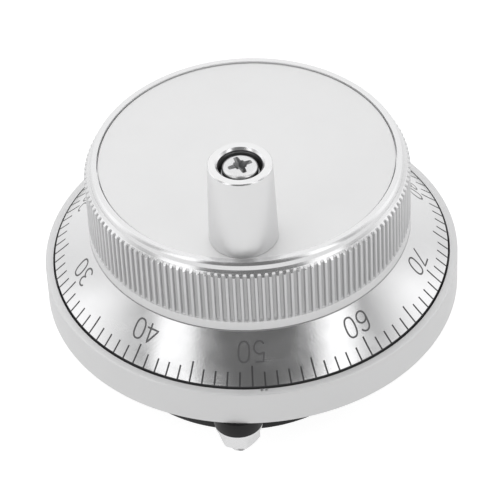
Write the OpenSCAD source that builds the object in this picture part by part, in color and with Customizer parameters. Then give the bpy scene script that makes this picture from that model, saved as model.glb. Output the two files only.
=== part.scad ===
// Panel-mounted pulse generator handwheel: a knurled knob with a crank handle
// and a graduated dial turn together inside a fixed bezel, and a rear housing
// holds the bearings, the magnetic clicks and the optical pickup.
// Millimetres. The origin is on the axis in the plane of the panel's front
// face, and +Z points out of the panel, towards the person turning the wheel.
// Azimuths are counted from -Y (the bottom of the dial) towards +X.

/* [Bezel] */
// Outer diameter of the bezel ring
bezel_d = 80; // [78:0.5:90]
// Height of the bezel above the panel
bezel_h = 7.5; // [7.2:0.1:8.3]
// Width of the flat lip seen round the dial
lip_w = 1.45; // [1.2:0.05:1.8]
// Thickness of the bezel's floor
floor_t = 3; // [2.6:0.1:3.2]
// Chamfer on the bezel's outer edges
bezel_chamfer = 0.3; // [0.2:0.05:0.5]
// Width of the index pointer
index_w = 1.4; // [1:0.1:2]
// Azimuth of the index pointer
index_az = 1.5; // [-5:0.5:5]

/* [Dial] */
// Radial gap between the dial's edge and the bezel's lip
dial_gap = 0.4; // [0.3:0.05:0.55]
// Height of the dial's edge above the bezel's lip
dial_proud = 0.2; // [0.1:0.05:0.5]
// Depth of the dial's edge band
dial_edge = 1.3; // [1:0.1:1.6]
// Hollow of the sloping face, measured at mid-slope
dial_sag = 0.38; // [0.1:0.02:0.5]
// Height of the knob's underside above the bezel's lip
dial_rise = 7.8; // [7.6:0.1:8.7]
// Thickness of the dial's sheet
dial_t = 1.2; // [1:0.1:1.3]
// Bore of the dial's flange
dial_bore = 24; // [23:0.5:26]

/* [Knob] */
// Outside diameter over the knurl
knob_d = 62; // [61:0.5:63]
// Height of the plain flange under the knurl
flange_h = 2.2; // [1.8:0.1:2.6]
// Length of the knurl
knurl_h = 11.1; // [10.8:0.1:12]
// Number of teeth in the straight knurl
knurl_n = 144; // [120:2:150]
// Depth of the knurl
knurl_depth = 0.53; // [0.4:0.01:0.6]
// Bevel that runs up from the knurl's crests to the plain band
shoulder_bevel = 1.08; // [0.9:0.02:1.2]
// Height of the plain band above the shoulder
band_h = 1; // [0.8:0.1:1.2]
// Bevel between the band and the top rim
rim_bevel = 0.5; // [0.4:0.05:0.6]
// Width of the flat rim round the cover disc
rim_w = 0.97; // [0.9:0.01:1.1]
// Thickness of the knob's outer wall
knob_wall = 3.6; // [3.2:0.1:4]
// Thickness of the web under the cover disc
web_t = 4; // [3.6:0.1:4.4]
// Diameter of the knob's hub
hub_d = 18; // [17:0.5:20]

/* [Cover disc] */
// Thickness of the cover disc
cover_t = 1; // [0.8:0.1:1.2]
// How far the disc's face lies under the rim
cover_sink = 0.33; // [0.2:0.01:0.4]
// Gap round the disc
cover_gap = 0.15; // [0.1:0.05:0.2]

/* [Crank handle] */
// Distance of the handle's axis from the wheel's axis
crank_r = 21.6; // [20.5:0.1:21.8]
// Azimuth of the handle at rest
crank_az = -3.3; // [-10:0.1:10]
// Diameter of the sleeve at its foot
sleeve_base_d = 12.9; // [12.5:0.1:13.2]
// Diameter of the sleeve at its top
sleeve_top_d = 12; // [11.8:0.1:12.4]
// Length of the sleeve
sleeve_h = 17.3; // [17:0.1:20]
// Gap between the sleeve and the cover disc
sleeve_gap = 0.2; // [0.1:0.05:0.3]
// Diameter of the counterbore in the sleeve
sleeve_bore_d = 8.9; // [8.7:0.1:9.2]
// Depth from the sleeve's top to the crown of the screw's head
head_sink = 0.1; // [0.05:0.05:0.4]
// Head diameter of the shoulder screw
axle_head_d = 6.7; // [6.4:0.1:7]
// Head height of the shoulder screw
axle_head_h = 2; // [1.8:0.1:2.2]
// Shoulder diameter of the shoulder screw
axle_d = 5; // [4.6:0.1:5.2]
// Thread diameter of the shoulder screw, at the pitch line
axle_thread_d = 3.55; // [3.4:0.05:3.8]
// Thread length of the shoulder screw
axle_thread_l = 5; // [4.5:0.5:5.5]
// Thickness of the washer under the head
axle_washer_t = 0.5; // [0.4:0.1:0.6]

/* [Spindle and bearings] */
// Spindle diameter, which is the bearings' bore
spindle_d = 8; // [7.6:0.1:8]
// Outside diameter of the bearings
bearing_d = 16; // [15.8:0.1:16.4]
// Width of the bearings
bearing_w = 5; // [4.6:0.1:5]
// Diameter of the bearing balls
ball_d = 2.4; // [2.2:0.1:2.4]
// Number of balls in each bearing
ball_n = 10; // [8:1:10]
// Height of the bearing carrier's top above the panel
carrier_top = 12.5; // [12.4:0.1:13]
// Outside diameter of the carrier's tube
carrier_d = 21; // [20.6:0.1:21.6]
// Diameter of the carrier's flange
carrier_flange_d = 40; // [39:0.5:41]
// Thickness of the carrier's flange
carrier_flange_t = 2; // [1.6:0.1:2.2]
// Height of the spindle's collar
collar_h = 1.5; // [1.4:0.1:2]
// Depth of the flat that drives the knob
spindle_flat = 0.8; // [0.6:0.1:1]
// Thickness of the retaining ring
clip_t = 0.8; // [0.7:0.05:0.9]
// Thread diameter of the screw that holds the knob
knob_screw_d = 4; // [3.8:0.1:4.2]
// Thickness of the washer under that screw
knob_washer_t = 0.8; // [0.6:0.1:1]
// Thread diameter of the screws in the dial, the disc, the cover and the terminals
small_screw_d = 2.5; // [2.4:0.1:2.6]
// Thread diameter of the screws that hold the carrier to the housing
carrier_screw_d = 3; // [2.8:0.1:3.1]

/* [Rear housing] */
// Diameter of the spigot that centres the unit in the panel's cut-out
spigot_d = 60; // [58:0.5:60]
// Height of the spigot, which is the housing's front wall
spigot_h = 3; // [2.8:0.1:3.2]
// Outside diameter of the housing
housing_d = 52; // [51.5:0.5:53]
// Sideways offset of the housing's outer wall, towards -X
housing_shift = 1.8; // [0:0.1:1.8]
// Depth of the housing behind the panel
housing_l = 16.2; // [16:0.1:17.5]
// Mean wall thickness of the housing
housing_wall = 3; // [2.8:0.1:3.2]
// Depth of the recess that protects the terminals
pocket_depth = 3.4; // [3.3:0.05:3.6]
// Thickness of the rear cover
rear_cover_t = 1.4; // [1.3:0.05:1.5]

/* [Mounting studs] */
// Pitch circle diameter of the studs
stud_pcd = 72; // [71.5:0.1:72.4]
// Azimuth of the first stud
stud_az = -6.5; // [-15:0.5:15]
// Outside diameter of the studs' thread
stud_d = 4; // [3.9:0.05:4]
// Diameter of the reduced shank and of the engaged thread
stud_core_d = 3.55; // [3.45:0.05:3.6]
// Distance of the studs' ends behind the panel's front face
stud_l = 10; // [9.8:0.1:14]
// Outside diameter of the black spacers
spacer_d = 9.4; // [9:0.1:9.6]
// Thickness of the black spacers
spacer_t = 3.3; // [3:0.1:3.4]
// Outside diameter of the flat washers
washer_d = 9; // [8.8:0.1:9.2]
// Thickness of the flat washers
washer_t = 0.9; // [0.8:0.1:1]
// Width of the nuts across their flats
nut_af = 7; // [6.9:0.1:7.1]
// Height of the nuts
nut_h = 3.2; // [3:0.1:3.3]

/* [Clicks and pickup] */
// Number of clicks, and of windows in the code disc, in one turn
click_n = 100; // [50:10:100]
// Outside diameter of the toothed rotor
rotor_d = 34; // [33.5:0.1:34]
// Air gap between the rotor and the stator
click_gap = 0.3; // [0.2:0.05:0.4]
// Depth of the click teeth
click_depth = 0.6; // [0.5:0.05:0.7]
// Thickness of the stator
stator_t = 2; // [1.8:0.1:2]
// Diameter of the code disc
disc_d = 34; // [33.5:0.1:34.2]
// Thickness of the code disc
disc_t = 0.3; // [0.2:0.05:0.3]
// Thickness of the circuit board
board_t = 1; // [0.8:0.1:1]
// Height of the larger chips above the board
chip_h = 1.3; // [1.1:0.1:1.4]
// Length of the larger chip
chip_l = 9; // [8:0.5:9]
// Height of the light detector above the board
detector_h = 0.6; // [0.5:0.1:0.6]

/* [Terminals] */
// Number of screw terminals
term_n = 6; // [4:1:6]
// Radius of the terminals' arc
term_r = 14; // [13.5:0.1:14.5]
// Angle between terminals
term_step = 31; // [30:0.5:32]
// Diameter of the terminal posts
post_d = 4.4; // [4.2:0.1:4.6]
// Width of the square washers on the terminals
term_washer_w = 5.2; // [5:0.1:5.4]
// Height of the barriers between the terminals
barrier_h = 3.1; // [2.8:0.1:3.2]
// Thickness of the barriers
barrier_t = 0.8; // [0.6:0.1:1]

/* [Fits] */
// Radial clearance of a running fit
run_fit = 0.05; // [0.03:0.01:0.1]
// Radial clearance of a fixed fit
fix_fit = 0.02; // [0.02:0.01:0.04]
// Radial clearance of a screw's hole
screw_fit = 0.1; // [0.08:0.02:0.15]

/* [Hidden] */
$fn = 96;
eps = 0.01;

// Radii and levels in front of the panel
bezel_r = bezel_d / 2;
lip_r = bezel_r - lip_w;
dial_r = lip_r - dial_gap;
dial_edge_z = bezel_h + dial_proud;
knob_r = knob_d / 2;
knob_z = bezel_h + dial_rise;              // underside of the knob, top of the dial's flange
knurl_z = knob_z + flange_h;
shoulder_z = knurl_z + knurl_h;            // where the shoulder's bevel starts
band_z = shoulder_z + shoulder_bevel;
band_r = knob_r - shoulder_bevel;
rim_z = band_z + band_h + rim_bevel;       // top rim of the knob
rim_r = band_r - rim_bevel;
disc_seat_r = rim_r - rim_w;
cover_z = rim_z - cover_sink - cover_t;    // seat of the cover disc
web_z = cover_z - web_t;
knurl_root_r = knob_r - knurl_depth;
knob_inner_r = knurl_root_r - knob_wall;
screw_pocket_r = 6.5;
screw_pocket_z = cover_z - knob_washer_t - head_h(knob_screw_d) - 0.2;
dial_screw_r = knob_inner_r - 2.6;         // pitch radius of the dial's screws
small_screw_r = small_screw_d / 2;
knob_screw_r = knob_screw_d / 2;
carrier_screw_r = carrier_screw_d / 2;
boss_short = 0.1;                          // the wall seats on the dial before the bosses do

// Levels behind and in front of the panel, in the bearing stack
spindle_r = spindle_d / 2;
bearing_r = bearing_d / 2;
race_r = (spindle_r + bearing_r) / 2;      // pitch radius of the balls
ball_r = ball_d / 2;
race_wall = 0.8;                           // half of the open gap between the two rings
upper_z = carrier_top - bearing_w;
lower_z = -spigot_h;
carrier_r = carrier_d / 2;
collar_z = carrier_top;
hub_z = collar_z + collar_h;               // underside of the knob's hub
spindle_top = screw_pocket_z - 0.2;
carrier_screw_at = (carrier_r + carrier_flange_d / 2) / 2 + 0.6;

// Levels inside the housing, counted downwards from its front wall
housing_r = housing_d / 2;
cup_r = housing_r - housing_wall;
stator_z = -spigot_h - stator_t;
clip_z = -spigot_h - clip_t;
rotor_top = clip_z - 0.1;
rotor_t = rotor_top - stator_z;
disc_hub_z = stator_z - 0.6 - 1.3;         // underside of the disc's hub
rotor_hub_z = stator_z - 0.6;
disc_z = disc_hub_z - disc_t;
disc_washer_t = 0.6;
disc_washer_z = disc_z - disc_washer_t;
spindle_foot = disc_z + 0.05;
cover_bottom = -housing_l + pocket_depth;
cover_top = cover_bottom + rear_cover_t;
board_z = cover_top + 0.5;
board_top = board_z + board_t;
rotor_r = rotor_d / 2;
stator_r = rotor_r + click_gap;            // inner radius over the stator's teeth
disc_r = disc_d / 2;
boss_r = 2.8;
boss_at = cup_r - boss_r + 0.4;            // radius of the cover screws' bosses
boss_az = [60, 180, 300];
fork_az = 30;
fork_w = 6;
fork_in = disc_r - 4;
fork_wall_r = disc_r + 0.5;
arm_z = disc_hub_z + 0.6;                  // underside of the fork's upper arm
fork_top = stator_z - 0.3;
chip_r = (disc_r + cup_r) / 2;             // the chips stand clear of the code disc
term_washer_z = cover_bottom - 0.6 - 0.7;
term_az = [for (i = [0:term_n - 1]) 180 + term_step * (i - (term_n - 1) / 2)];
barrier_az = [for (i = [0:term_n]) 180 + term_step * (i - term_n / 2)];
barrier_r = term_r - 4;

// Levels on the mounting studs, behind the panel's front face
stud_r = stud_d / 2;
stud_core_r = stud_core_d / 2;
washer_z = -spacer_t - washer_t;
nut_z = washer_z - nut_h;
stud_azs = [stud_az, stud_az + 120, stud_az + 240];

// Levels on the crank handle
sleeve_z = cover_z + cover_t + sleeve_gap;
sleeve_top = sleeve_z + sleeve_h;
sleeve_bore_r = sleeve_bore_d / 2;
axle_r = axle_d / 2;
axle_head_r = axle_head_d / 2;
axle_head_z = sleeve_top - head_sink - axle_head_h;
axle_washer_z = axle_head_z - axle_washer_t;
bush_top = axle_washer_z - 0.1;
bush_r = sleeve_bore_r;
bush_flange_h = 0.6;
crank_boss_r = axle_thread_d / 2 + 2.4;

// Colours
aluminium = [0.86, 0.86, 0.87];
bright = [0.8, 0.8, 0.81];
steel = [0.72, 0.73, 0.75];
black = [0.1, 0.1, 0.11];
brass = [0.78, 0.62, 0.3];
board_green = [0.1, 0.35, 0.2];

// ---- helpers ----

// Turns children from -Y to an azimuth and moves them out to a radius
module at_az(az, r = 0) { rotate([0, 0, az - 90]) translate([r, 0, 0]) children(); }

// The same, for each azimuth in a list
module around(azs, r = 0) { for (az = azs) at_az(az, r) children(); }

// A cylinder between two levels
module rod(r, z0, z1) { translate([0, 0, z0]) cylinder(r = r, h = z1 - z0); }

// A tube between two levels
module tube(ro, ri, z0, z1) { difference() { rod(ro, z0, z1); rod(ri, z0 - 1, z1 + 1); } }

// A solid of revolution from a list of [radius, height] points
module turned(pts) { rotate_extrude($fn = 180) polygon(pts); }

// A point on a circle
function polar(r, a) = [r * cos(a), r * sin(a)];

// Points of a shallow arc from p to q, bowed by sag to the left of the way
function bow(p, q, sag, n) = let (d = q - p, w = [-d[1], d[0]] / norm(d))
    [for (i = [0:n]) let (t = i / n) p + d * t + w * sag * 4 * t * (1 - t)];

// A ring of n trapezoid teeth between the radii lo and hi; land is the share
// of the pitch taken by each tooth's flat end, gap the share between roots
function teeth(n, lo, hi, land, gap) = [for (i = [0:n - 1], k = [0:3])
    polar(k == 0 || k == 3 ? lo : hi,
        360 / n * (i + [-0.5 + gap / 2, -land / 2, land / 2, 0.5 - gap / 2][k]))];

// Radius and height of a pan head for a thread of diameter d
function head_r(d) = 0.9 * d;
function head_h(d) = 0.55 * d;

// A domed head standing on z
module pan_head(r, h, z) turned([[0, z], [r, z], [r, z + h * 0.55], [r * 0.88, z + h * 0.88],
    [r * 0.5, z + h], [0, z + h]]);

// A cross recess cut down from z into a head of radius r
module cross_cut(z, r, depth) {
    for (a = [0, 90]) rotate([0, 0, a + 17])
        translate([-0.62 * r, -0.14 * r, z - depth]) cube([1.24 * r, 0.28 * r, depth + 1]);
}

// A pan-head screw with a cross recess: head above z, shank of length l below
module pan_screw(d, l, z) difference() {
    union() {
        pan_head(head_r(d), head_h(d), z);
        rod(d / 2, z - l, z + eps);
    }
    cross_cut(z + head_h(d), head_r(d), 0.6 * head_h(d));
}

// One bearing ring with its ball groove
module race(ri, ro, z) {
    translate([0, 0, z]) rotate_extrude() difference() {
        translate([ri, 0]) square([ro - ri, bearing_w]);
        translate([race_r, bearing_w / 2]) circle(r = ball_r + 0.04, $fn = 48);
    }
}

// ---- fixed pieces in front of the panel ----

module bezel_ring() color(aluminium) difference() {
    turned([[carrier_r + fix_fit, 0], [bezel_r - bezel_chamfer, 0], [bezel_r, bezel_chamfer],
        [bezel_r, bezel_h - bezel_chamfer], [bezel_r - bezel_chamfer, bezel_h],
        [lip_r + 0.1, bezel_h], [lip_r, bezel_h - 0.1], [lip_r, floor_t],
        [carrier_r + fix_fit, floor_t]]);
    around(stud_azs, stud_pcd / 2) rod(stud_core_r + fix_fit, -1, floor_t + 1);
    around([0, 120, 240], carrier_screw_at) rod(carrier_screw_r + screw_fit, -1, floor_t + 1);
    at_az(index_az) translate([lip_r - 1, -index_w / 2, bezel_h - 0.9])
        cube([1.5, index_w, 2]);
}

module index_pointer() color(bright) at_az(index_az) difference() {
    translate([lip_r - dial_gap / 2, -index_w / 2 + fix_fit, bezel_h - 0.9])
        cube([0.5 + dial_gap / 2 - fix_fit, index_w - 2 * fix_fit, 0.9]);
    translate([lip_r - 1, -0.15, bezel_h - 0.12]) cube([2, 0.3, 1]);
}

module bearing_carrier() color(aluminium) difference() {
    union() {
        rod(carrier_r, lower_z, carrier_top);
        rod(carrier_flange_d / 2, floor_t, floor_t + carrier_flange_t);
    }
    rod(bearing_r, upper_z, carrier_top + 1);
    rod(bearing_r, lower_z - 1, lower_z + bearing_w);
    rod(bearing_r - 0.9, lower_z, carrier_top);
    around([0, 120, 240], carrier_screw_at) rod(carrier_screw_r + screw_fit, floor_t - 1, floor_t + 9);
}

module carrier_screws() color(steel) around([0, 120, 240], carrier_screw_at)
    pan_screw(carrier_screw_d, floor_t + carrier_flange_t + spigot_h - 0.5,
        floor_t + carrier_flange_t);

module bearing_outer_rings() color(steel) for (z = [lower_z, upper_z])
    race(race_r + race_wall, bearing_r, z);

// ---- fixed pieces behind the panel ----

module mounting_studs() color(steel) around(stud_azs, stud_pcd / 2) {
    rod(stud_core_r, nut_z - eps, floor_t - 0.2);
    rod(stud_r, -stud_l + 0.4, nut_z);
    translate([0, 0, -stud_l]) cylinder(r1 = stud_r - 0.4, r2 = stud_r, h = 0.4 + eps);
}

module stud_spacers() color(black) around(stud_azs, stud_pcd / 2)
    tube(spacer_d / 2, stud_r + 0.2, -spacer_t, 0);

module flat_washers() color(steel) around(stud_azs, stud_pcd / 2)
    tube(washer_d / 2, stud_r + 0.15, washer_z, -spacer_t);

module stud_nuts() color(bright) around(stud_azs, stud_pcd / 2) difference() {
    intersection() {
        rotate([0, 0, 3]) translate([0, 0, nut_z]) cylinder(r = nut_af / 2 / cos(30), h = nut_h, $fn = 6);
        turned([[0, nut_z], [nut_af / 2, nut_z], [nut_af / 2 + 0.7, nut_z + 0.4],
            [nut_af / 2 + 0.7, washer_z - 0.4], [nut_af / 2, washer_z], [0, washer_z]]);
    }
    rod(stud_core_r + fix_fit, nut_z - 1, washer_z + 1);
}

module rear_housing() color(black) difference() {
    union() {
        rod(spigot_d / 2, -spigot_h, 0);
        difference() {
            translate([-housing_shift, 0, 0]) turned([[0, -housing_l],
                [housing_r - 0.5, -housing_l], [housing_r, -housing_l + 0.5],
                [housing_r, -spigot_h + eps], [0, -spigot_h + eps]]);
            rod(cup_r, -housing_l - 1, -spigot_h);
        }
        intersection() {
            around(boss_az, boss_at) rod(boss_r, board_top, stator_z);
            rod(cup_r + 0.5, -housing_l, 0);
        }
    }
    rod(carrier_r + fix_fit, -spigot_h - 1, 1);
    around([0, 120, 240], carrier_screw_at) rod(carrier_screw_r + fix_fit, -spigot_h + 0.4, 1);
    around(boss_az, boss_at) rod(small_screw_r + fix_fit, board_top - 1, stator_z - 0.6);
}

module click_stator() color(steel) difference() {
    rod(cup_r - fix_fit, stator_z, -spigot_h);
    translate([0, 0, stator_z - 1]) linear_extrude(stator_t + 2)
        polygon(teeth(click_n, stator_r, stator_r + click_depth, 0.3, 0.4));
}

module click_magnets() color(bright) around([0, 120, 240], cup_r - 2.2)
    translate([-2, -3, stator_z - 1]) cube([4, 6, 1]);

module sensor_fork() color(black) at_az(fork_az) difference() {
    translate([fork_in, -fork_w / 2, board_top])
        cube([fork_wall_r + 1.6 - fork_in, fork_w, fork_top - board_top]);
    translate([fork_in - 1, -fork_w, board_top - 1])
        cube([fork_wall_r - fork_in + 1, 2 * fork_w, arm_z - board_top + 1]);
    translate([disc_r - 1.9, 0, arm_z - 1]) cylinder(r = 0.8 + fix_fit, h = 1.6);
}

module light_emitter() color([0.9, 0.9, 1]) at_az(fork_az, disc_r - 1.9)
    rod(0.8, arm_z, arm_z + 0.6);

module light_detector() color([0.2, 0.2, 0.25]) at_az(fork_az, disc_r - 1.9)
    translate([-2 * detector_h, -fork_w / 4, board_top])
        cube([4 * detector_h, fork_w / 2, detector_h]);

module circuit_board() color(board_green) difference() {
    rod(cup_r - 0.2, board_z, board_top);
    rod(5, board_z - 1, board_top + 1);
    around(boss_az, boss_at) rod(small_screw_r + screw_fit, board_z - 1, board_top + 1);
    around(term_az, term_r) rod(0.8 + screw_fit, board_z - 1, board_top + 1);
}

module circuit_chips() color([0.15, 0.15, 0.16]) {
    at_az(-30, chip_r) translate([-2, -chip_l / 2, board_top]) cube([4, chip_l, chip_h]);
    at_az(90, chip_r) translate([-2, -chip_l / 4, board_top]) cube([4, chip_l / 2, chip_h]);
    around([105, 140, 220, 255], chip_r)
        translate([-1, -0.6, board_top]) cube([2, 1.2, chip_h * 0.6]);
}

module rear_cover() color(black) difference() {
    union() {
        rod(cup_r - fix_fit, cover_bottom, cover_top);
        tube(cup_r - fix_fit, cup_r - 4.6, cover_top - eps, board_z);
    }
    around(boss_az, boss_at) rod(small_screw_r + screw_fit, cover_bottom - 1, board_z + 1);
    around(term_az, term_r) rod(post_d / 2 + fix_fit, cover_bottom - 1, board_z + 1);
}

module cover_screws() color(steel) around(boss_az, boss_at)
    translate([0, 0, cover_bottom]) mirror([0, 0, 1])
        pan_screw(small_screw_d, stator_z - 1 - cover_bottom, 0);

module terminal_barriers() color(black) {
    difference() {
        tube(barrier_r + barrier_t, barrier_r, cover_bottom - barrier_h, cover_bottom);
        translate([-20, -20.6, cover_bottom - barrier_h - 1]) cube([40, 20, barrier_h + 2]);
    }
    around(barrier_az, barrier_r + barrier_t / 2)
        translate([0, -barrier_t / 2, cover_bottom - barrier_h]) cube([7.6, barrier_t, barrier_h]);
}

module terminal_posts() color(brass) around(term_az, term_r) difference() {
    union() {
        rod(post_d / 2, cover_bottom - 0.6, board_z);
        rod(0.8, board_z - eps, board_top + 0.4);
    }
    rod(small_screw_r + fix_fit, cover_bottom - 1, board_z - 0.5);
}

module terminal_washers() color(steel) around(term_az, term_r) difference() {
    translate([-term_washer_w / 2, -term_washer_w / 2, term_washer_z])
        cube([term_washer_w, term_washer_w, 0.7]);
    rod(small_screw_r + screw_fit, term_washer_z - 1, cover_bottom);
}

module terminal_screws() color(bright) around(term_az, term_r)
    translate([0, 0, term_washer_z]) mirror([0, 0, 1])
        pan_screw(small_screw_d, board_z - 0.7 - term_washer_z, 0);

// ---- pieces that turn with the wheel ----

module spindle() color(steel) difference() {
    union() {
        rod(spindle_r, spindle_foot, spindle_top);
        rod(spindle_r + 1.2, collar_z, hub_z);
    }
    translate([spindle_r - spindle_flat, -10, hub_z]) cube([5, 20, spindle_top]);
    tube(spindle_r + 1, spindle_r - 0.3, clip_z - fix_fit, -spigot_h);
    rod(knob_screw_r + fix_fit, hub_z + 1, spindle_top + 1);
    rod(small_screw_r + fix_fit, spindle_foot - 1, clip_z + 1);
}

module bearing_inner_rings() color(steel) for (z = [lower_z, upper_z])
    race(spindle_r, race_r - race_wall, z);

module retaining_ring() color([0.3, 0.3, 0.32]) difference() {
    union() {
        tube(spindle_r + 1.3, spindle_r - 0.3 + fix_fit, clip_z, -spigot_h);
        for (s = [-1, 1]) translate([spindle_r + 1, s * 1.5, clip_z])
            cylinder(r = 1, h = clip_t);
    }
    translate([0, -0.7, clip_z - 1]) cube([10, 1.4, 3]);
    for (s = [-1, 1]) translate([spindle_r + 1, s * 1.5, clip_z - 1]) cylinder(r = 0.45, h = 3);
    rod(spindle_r - 0.3 + fix_fit, clip_z - 1, 0);
}

module click_rotor() color(steel) difference() {
    union() {
        translate([0, 0, stator_z]) linear_extrude(rotor_t)
            polygon(teeth(click_n, rotor_r - click_depth, rotor_r, 0.3, 0.4));
        rod(6.5, rotor_hub_z, stator_z + eps);
    }
    rod(spindle_r, rotor_hub_z - 1, 0);
    for (a = [0:60:300]) rotate([0, 0, a]) translate([11, 0, stator_z - 1]) cylinder(r = 3, h = 4);
}

module disc_hub() color(aluminium) tube(7, spindle_r, disc_hub_z, rotor_hub_z);

module code_disc() color([0.75, 0.78, 0.8]) translate([0, 0, disc_z]) linear_extrude(disc_t)
    difference() {
        circle(r = disc_r);
        circle(r = spindle_r + fix_fit);
        for (i = [0:click_n - 1]) rotate(i * 360 / click_n)
            translate([disc_r - 2.9, -0.25]) square([2, 0.5]);
    }

module disc_washer() color(steel) tube(6, small_screw_r + screw_fit, disc_washer_z, disc_z);

module disc_screw() color(steel) translate([0, 0, disc_washer_z]) mirror([0, 0, 1])
    pan_screw(small_screw_d, clip_z - disc_washer_z, 0);

// The knob: a turned cup whose straight knurl runs from a plain flange into a
// bevelled shoulder, with a plain band and a bevelled rim above it, a D-bored
// hub, a boss for the crank's shoulder screw and three for the dial's screws.
module knob() color(aluminium) difference() {
    union() {
        turned([[knob_inner_r, knob_z], [knob_r - 0.2, knob_z], [knob_r, knob_z + 0.2],
            [knob_r, shoulder_z], [band_r, band_z], [band_r, band_z + band_h], [rim_r, rim_z],
            [disc_seat_r, rim_z], [disc_seat_r, cover_z], [0, cover_z], [0, web_z],
            [knob_inner_r - 1, web_z], [knob_inner_r, web_z - 1]]);
        rod(hub_d / 2, hub_z, web_z + 1);
        at_az(crank_az, crank_r) rod(crank_boss_r, cover_z - axle_thread_l - 1.5, web_z + 1);
        around([60, 180, 300], dial_screw_r) rod(3, knob_z + boss_short, web_z + 1);
    }
    translate([0, 0, knurl_z]) linear_extrude(knurl_h + knurl_depth + 0.2) difference() {
        circle(r = knob_r + 1);
        polygon(teeth(knurl_n, knurl_root_r, knob_r + 0.3, 0.3, 0.15));
    }
    difference() {
        rod(spindle_r + fix_fit, hub_z - 1, screw_pocket_z + 1);
        translate([spindle_r - spindle_flat + fix_fit, -10, hub_z - 2]) cube([5, 20, 40]);
    }
    rod(screw_pocket_r, screw_pocket_z, cover_z + 1);
    at_az(crank_az, crank_r) rod(axle_thread_d / 2 + fix_fit, cover_z - axle_thread_l - 0.3, rim_z);
    around([60, 180, 300], dial_screw_r) rod(small_screw_r + fix_fit, knob_z - 1, knob_z + 7);
}

// The dial: a spun cone with a slightly hollow face, a short band at its edge
// and a flat flange that is screwed up against the knob.
module dial() color(aluminium) {
    slope = bow([dial_r, dial_edge_z - 0.15], [knob_r - 0.3, knob_z], dial_sag, 10);
    under = [for (i = [10:-1:0]) slope[i] - [dial_t * 0.75, dial_t]];
    difference() {
        turned(concat([[dial_bore / 2, knob_z - dial_t], [dial_bore / 2, knob_z]],
            [for (i = [10:-1:0]) slope[i] + (i == 0 ? [-0.15, 0.15] : [0, 0])],
            [[dial_r, dial_edge_z - 0.15], [dial_r, dial_edge_z - dial_edge],
                [dial_r - 1, dial_edge_z - dial_edge]],
            [for (i = [9:-1:0]) under[i]]));
        around([60, 180, 300], dial_screw_r) rod(small_screw_r + screw_fit, 0, knob_z + 1);
    }
}

module dial_screws() color(steel) around([60, 180, 300], dial_screw_r)
    translate([0, 0, knob_z - dial_t]) mirror([0, 0, 1])
        pan_screw(small_screw_d, dial_t + 6, 0);

module knob_washer() color(steel)
    tube(screw_pocket_r - 0.3, knob_screw_r + screw_fit, screw_pocket_z,
        screw_pocket_z + knob_washer_t);

module knob_screw() color(steel)
    pan_screw(knob_screw_d, 2.5 * knob_screw_d, screw_pocket_z + knob_washer_t);

module cover_disc() color([0.9, 0.9, 0.9]) difference() {
    rod(disc_seat_r - cover_gap, cover_z, cover_z + cover_t);
    at_az(crank_az, crank_r) rod(axle_r + 0.5, cover_z - 1, cover_z + cover_t + 1);
}

module handle_axle() color(bright) at_az(crank_az, crank_r) difference() {
    union() {
        pan_head(axle_head_r, axle_head_h, axle_head_z);
        rod(axle_r, cover_z, axle_head_z + eps);
        rod(axle_thread_d / 2, cover_z - axle_thread_l, cover_z + eps);
    }
    cross_cut(axle_head_z + axle_head_h, axle_head_r, 0.64 * axle_head_h);
}

module handle_washer() color(steel) at_az(crank_az, crank_r)
    tube(axle_head_r + 0.15, axle_r + fix_fit, axle_washer_z, axle_head_z);

// ---- the bearings' balls and cages ----

module bearing_balls() color(bright) for (z = [lower_z, upper_z], i = [0:ball_n - 1])
    translate([each polar(race_r, i * 360 / ball_n), z + bearing_w / 2])
        sphere(r = ball_r, $fn = 32);

module bearing_cages() color(brass) for (z = [lower_z, upper_z]) difference() {
    tube(race_r + race_wall - 0.3, race_r - race_wall + 0.3, z + 0.5, z + bearing_w / 2 + 0.2);
    for (i = [0:ball_n - 1]) translate([each polar(race_r, i * 360 / ball_n), z + bearing_w / 2])
        sphere(r = ball_r + 0.03, $fn = 32);
}

// ---- the crank handle's spinning pieces ----

module handle_sleeve() color([0.85, 0.85, 0.85]) at_az(crank_az, crank_r)
    turned([[sleeve_bore_r, sleeve_z], [sleeve_base_d / 2 - 0.15, sleeve_z],
        [sleeve_base_d / 2, sleeve_z + 0.15], [sleeve_top_d / 2, sleeve_top - 0.35],
        [sleeve_top_d / 2 - 0.35, sleeve_top], [sleeve_bore_r + 0.15, sleeve_top],
        [sleeve_bore_r, sleeve_top - 0.15]]);

module handle_bush() color(black) at_az(crank_az, crank_r)
    tube(bush_r, axle_r + run_fit, sleeve_z, bush_top);

bezel_ring();
index_pointer();
mounting_studs();
stud_spacers();
flat_washers();
stud_nuts();
bearing_carrier();
carrier_screws();
bearing_outer_rings();
rear_housing();
click_stator();
click_magnets();
sensor_fork();
light_emitter();
light_detector();
circuit_board();
circuit_chips();
rear_cover();
cover_screws();
terminal_barriers();
terminal_posts();
terminal_washers();
terminal_screws();
spindle();
bearing_inner_rings();
retaining_ring();
click_rotor();
disc_hub();
code_disc();
disc_washer();
disc_screw();
knob();
dial();
dial_screws();
knob_washer();
knob_screw();
cover_disc();
handle_axle();
handle_washer();
bearing_balls();
bearing_cages();
handle_sleeve();
handle_bush();
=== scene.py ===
import math

import bmesh
import bpy
from mathutils import Matrix, Vector


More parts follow.
